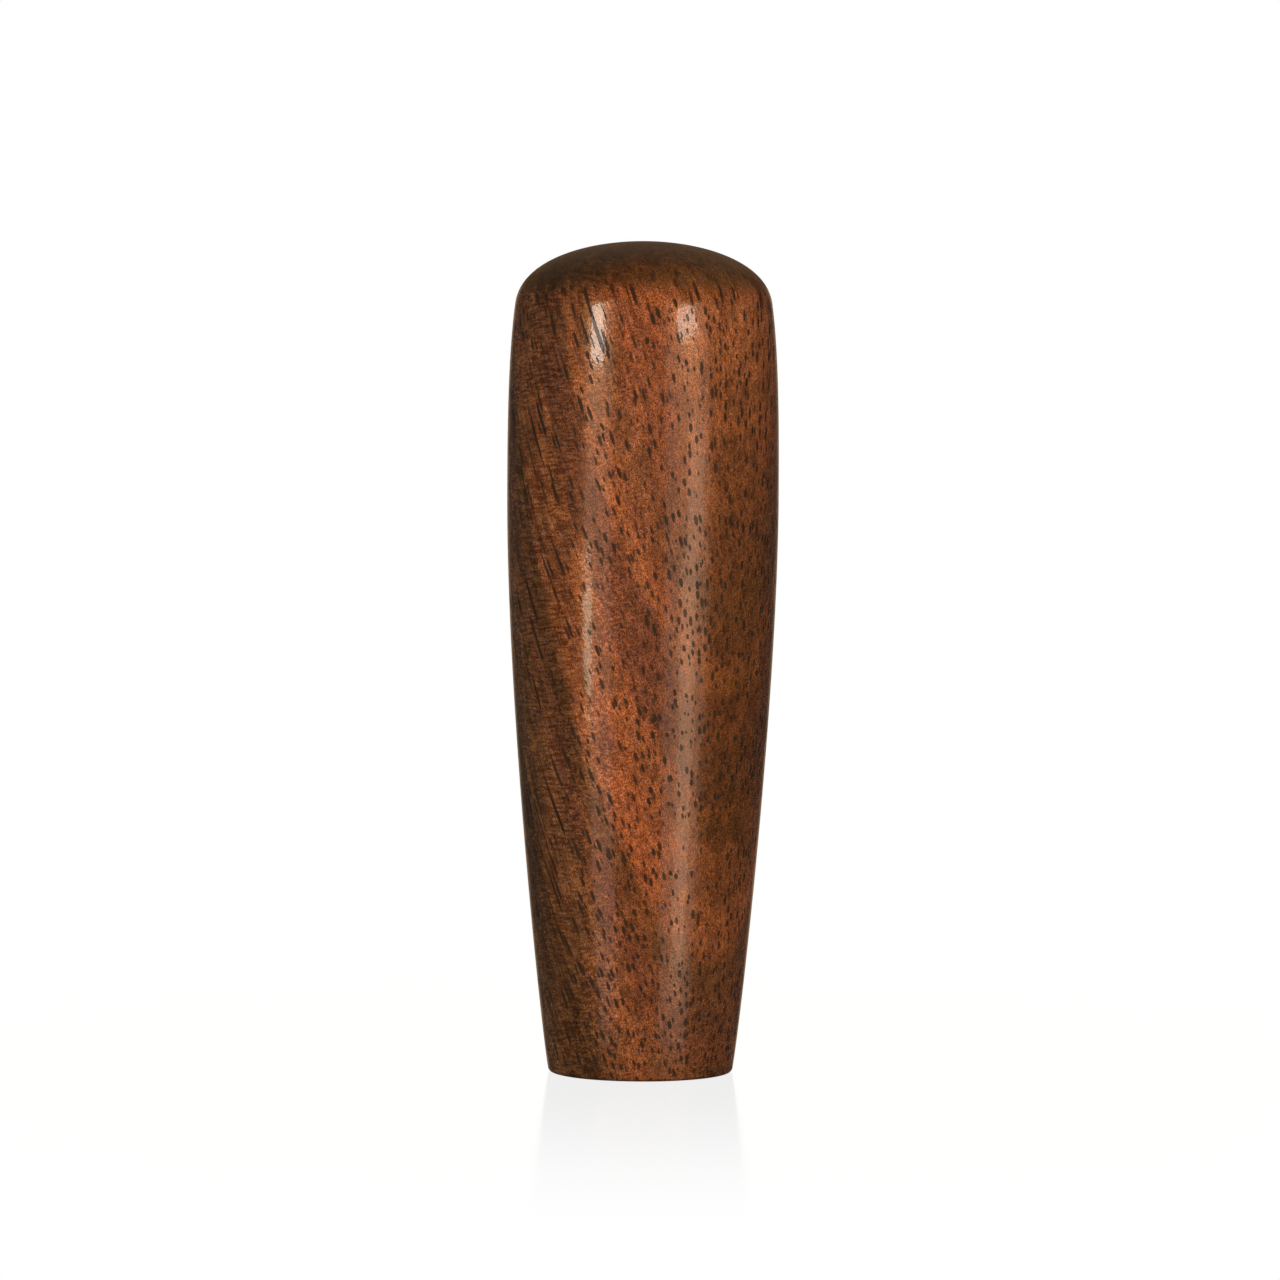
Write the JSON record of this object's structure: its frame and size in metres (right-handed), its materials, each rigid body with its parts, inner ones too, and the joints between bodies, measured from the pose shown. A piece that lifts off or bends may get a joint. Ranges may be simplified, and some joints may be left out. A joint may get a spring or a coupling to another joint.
{
  "type": "turned wooden handle",
  "caption": "Turned hardwood grip handle with a domed thick end and a taper to a flat neck, with a blind threaded metal insert that screws onto a stud.",
  "frame": {"origin": "centre of the flat neck face, at the mouth of the threaded bore, which is the face that the handle stands on", "axes": "+Z along the handle's axis, from the neck face towards the domed end; the body is round, so +X and +Y are any two directions square to it"},
  "size_m": [0.036, 0.036, 0.11],
  "materials": {
    "walnut": "figured reddish-brown walnut with dark pores under a clear glossy lacquer",
    "insert_brass": "machined brass, bright, with a straight knurl outside"
  },
  "bodies": {
    "root": {"handle_body": "walnut", "threaded_insert": "insert_brass"}
  },
  "joints": []
}
